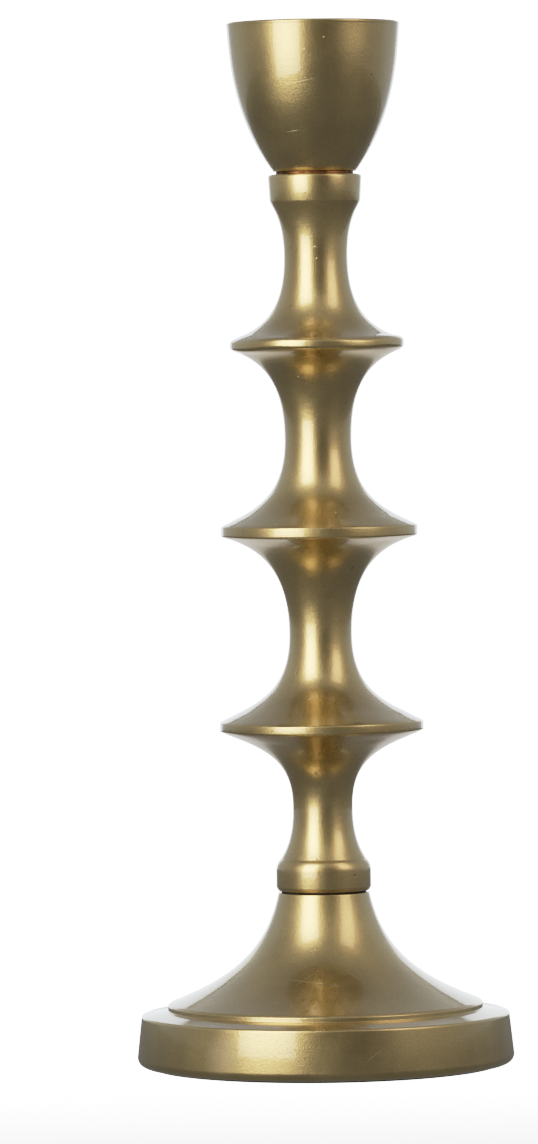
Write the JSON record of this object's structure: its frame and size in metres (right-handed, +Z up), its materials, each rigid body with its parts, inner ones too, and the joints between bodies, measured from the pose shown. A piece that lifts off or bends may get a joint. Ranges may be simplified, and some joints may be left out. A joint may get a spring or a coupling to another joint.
{
  "type": "candlestick",
  "caption": "Tall turned candlestick: tulip candle cup on a waisted stem with disc rings, over a flared cone and round drum base. Cup and stem unscrew.",
  "frame": {"origin": "centre of the felt underside, on the surface that the candlestick stands on", "axes": "+Z up along the turning axis; +X and +Y are any two level directions, because the object is turned"},
  "size_m": [0.0944, 0.0944, 0.261],
  "materials": {
    "base_brass": "satin lacquered, turned",
    "stem_brass": "satin lacquered, turned",
    "cup_brass": "satin lacquered, turned",
    "cup_washer_copper": "dull copper colour",
    "stem_washer_fibre": "vulcanised fibre, matte",
    "stud_steel": "zinc plated",
    "nut_steel": "zinc plated",
    "washer_steel": "zinc plated",
    "board_card": "grey-brown fibreboard, matte",
    "felt": "wool felt, matte"
  },
  "bodies": {
    "foot": {"base_casting": "base_brass", "crown_washer": "washer_steel", "lock_washer": "washer_steel", "base_nut": "nut_steel", "backing_board": "board_card", "felt_pad": "felt"},
    "stem_lift": {"stem_washer": "stem_washer_fibre"},
    "stem_turned": {"stem": "stem_brass", "stem_stud": "stud_steel", "cup_stud": "stud_steel"},
    "cup_lift": {"cup_washer": "cup_washer_copper"},
    "cup_turned": {"candle_cup": "cup_brass"}
  },
  "joints": [
    {"name": "stem_rise", "type": "slide", "parent": "foot", "child": "stem_lift", "axis": [0, 0, 1], "range_m": [0, 0.0087]},
    {"name": "stem_unscrew", "type": "hinge", "parent": "stem_lift", "child": "stem_turned", "pos_m": [0, 0, 0.0441], "axis": [0, 0, 1], "range_deg": [0, 2520]},
    {"name": "cup_rise", "type": "slide", "parent": "stem_turned", "child": "cup_lift", "axis": [0, 0, 1], "range_m": [0, 0.005]},
    {"name": "cup_unscrew", "type": "hinge", "parent": "cup_lift", "child": "cup_turned", "pos_m": [0, 0, 0.2238], "axis": [0, 0, 1], "range_deg": [0, 1445]}
  ],
  "couplings": [
    {"joint": "stem_unscrew", "follows": "stem_rise", "rad_per_m": 5026.5},
    {"joint": "cup_unscrew", "follows": "cup_rise", "rad_per_m": 5026.5}
  ]
}
